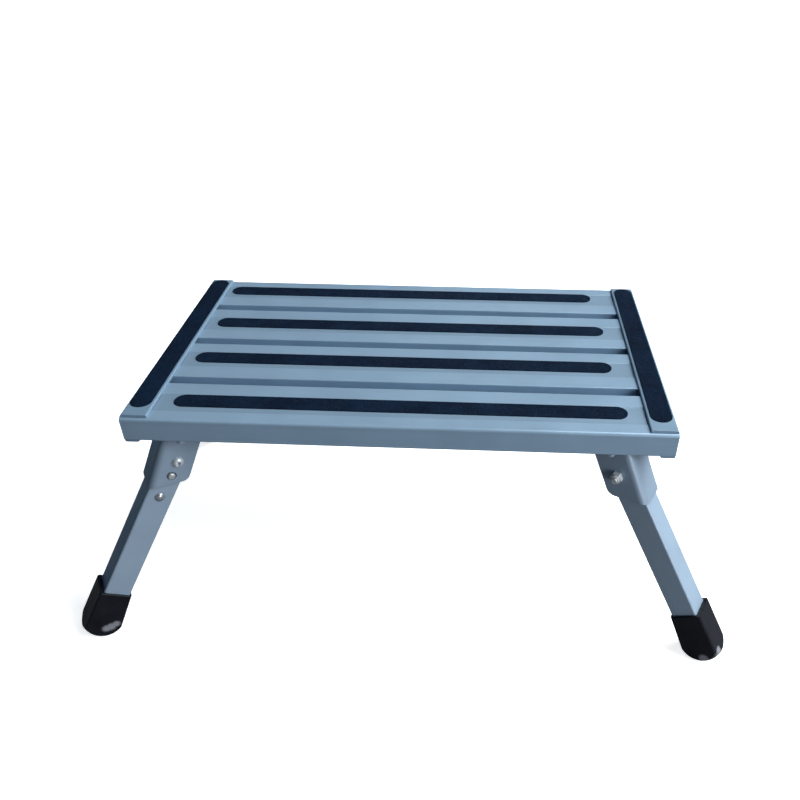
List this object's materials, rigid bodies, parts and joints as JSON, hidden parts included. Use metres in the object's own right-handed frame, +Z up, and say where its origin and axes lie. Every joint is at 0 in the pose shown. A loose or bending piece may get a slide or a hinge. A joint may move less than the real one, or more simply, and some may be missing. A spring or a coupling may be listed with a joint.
{
  "type": "folding platform step",
  "caption": "Low platform step for a caravan door: slatted metal deck with black grip strips, capped ends and splayed square legs with rubber feet that fold under the deck.",
  "frame": {"origin": "on the floor, under the middle of the deck", "axes": "+X along the deck to the right as seen by a person stepping up, +Y away from that person, +Z up"},
  "size_m": [0.6484, 0.3784, 0.2471],
  "materials": {
    "plank_aluminium": "matt blue-grey anodised extrusion with fine lengthwise lines",
    "cover_aluminium": "matt blue-grey anodised channel",
    "leg_aluminium": "matt blue-grey square tube",
    "bracket_paint": "satin blue-grey coat on bent steel plate",
    "grip_strip": "black gritty anti-slip strip",
    "boot_rubber": "smooth black moulded rubber, slightly glossy",
    "fastener_steel": "bright zinc plate",
    "rivet_steel": "plain rivet",
    "spring_steel": "bright spring steel",
    "washer_plastic": "natural white plastic"
  },
  "bodies": {
    "deck": {"bracket_rivets": "rivet_steel", "cover_rivets": "rivet_steel", "front_grip_strip": "grip_strip", "front_plank": "plank_aluminium", "left_cover_grip_strip": "grip_strip", "left_end_cover": "cover_aluminium", "leg_bracket_front_left": "bracket_paint", "leg_bracket_front_right": "bracket_paint", "leg_bracket_rear_left": "bracket_paint", "leg_bracket_rear_right": "bracket_paint", "pivot_bolt_front_left": "fastener_steel", "pivot_bolt_front_right": "fastener_steel", "pivot_bolt_rear_left": "fastener_steel", "pivot_bolt_rear_right": "fastener_steel", "pivot_nut_front_left": "fastener_steel", "pivot_nut_front_right": "fastener_steel", "pivot_nut_rear_left": "fastener_steel", "pivot_nut_rear_right": "fastener_steel", "pivot_sleeve_front_left": "fastener_steel", "pivot_sleeve_front_right": "fastener_steel", "pivot_sleeve_rear_left": "fastener_steel", "pivot_sleeve_rear_right": "fastener_steel", "pivot_washers_front_left": "washer_plastic", "pivot_washers_front_right": "washer_plastic", "pivot_washers_rear_left": "washer_plastic", "pivot_washers_rear_right": "washer_plastic", "rear_grip_strip": "grip_strip", "rear_plank": "plank_aluminium", "right_cover_grip_strip": "grip_strip", "right_end_cover": "cover_aluminium", "second_grip_strip": "grip_strip", "second_plank": "plank_aluminium", "third_grip_strip": "grip_strip", "third_plank": "plank_aluminium"},
    "leg_front_left": {"leg_tube_front_left": "leg_aluminium", "foot_boot_front_left": "boot_rubber", "spring_rivet_front_left": "rivet_steel"},
    "lock_front_left": {"lock_spring_front_left": "spring_steel"},
    "leg_front_right": {"leg_tube_front_right": "leg_aluminium", "foot_boot_front_right": "boot_rubber", "spring_rivet_front_right": "rivet_steel"},
    "lock_front_right": {"lock_spring_front_right": "spring_steel"},
    "leg_rear_left": {"leg_tube_rear_left": "leg_aluminium", "foot_boot_rear_left": "boot_rubber", "spring_rivet_rear_left": "rivet_steel"},
    "lock_rear_left": {"lock_spring_rear_left": "spring_steel"},
    "leg_rear_right": {"leg_tube_rear_right": "leg_aluminium", "foot_boot_rear_right": "boot_rubber", "spring_rivet_rear_right": "rivet_steel"},
    "lock_rear_right": {"lock_spring_rear_right": "spring_steel"}
  },
  "joints": [
    {"name": "fold_front_left", "type": "hinge", "parent": "deck", "child": "leg_front_left", "pos_m": [-0.2098, -0.1195, 0.192], "axis": [0.4695, -0.8829, 0], "range_deg": [0, 121.4]},
    {"name": "press_front_left", "type": "slide", "parent": "leg_front_left", "child": "lock_front_left", "axis": [-0.4695, 0.8829, 0], "range_m": [0, 0.0045], "stiffness_N_per_m": 1500, "deforming": ["lock_spring_front_left"]},
    {"name": "fold_front_right", "type": "hinge", "parent": "deck", "child": "leg_front_right", "pos_m": [0.2038, -0.1195, 0.192], "axis": [0.4695, 0.8829, 0], "range_deg": [0, 121.4]},
    {"name": "press_front_right", "type": "slide", "parent": "leg_front_right", "child": "lock_front_right", "axis": [-0.4695, -0.8829, 0], "range_m": [0, 0.0045], "stiffness_N_per_m": 1500, "deforming": ["lock_spring_front_right"]},
    {"name": "fold_rear_left", "type": "hinge", "parent": "deck", "child": "leg_rear_left", "pos_m": [-0.2038, 0.1195, 0.192], "axis": [-0.4695, -0.8829, 0], "range_deg": [0, 121.4]},
    {"name": "press_rear_left", "type": "slide", "parent": "leg_rear_left", "child": "lock_rear_left", "axis": [0.4695, 0.8829, 0], "range_m": [0, 0.0045], "stiffness_N_per_m": 1500, "deforming": ["lock_spring_rear_left"]},
    {"name": "fold_rear_right", "type": "hinge", "parent": "deck", "child": "leg_rear_right", "pos_m": [0.2098, 0.1195, 0.192], "axis": [-0.4695, 0.8829, 0], "range_deg": [0, 121.4]},
    {"name": "press_rear_right", "type": "slide", "parent": "leg_rear_right", "child": "lock_rear_right", "axis": [0.4695, -0.8829, 0], "range_m": [0, 0.0045], "stiffness_N_per_m": 1500, "deforming": ["lock_spring_rear_right"]}
  ]
}
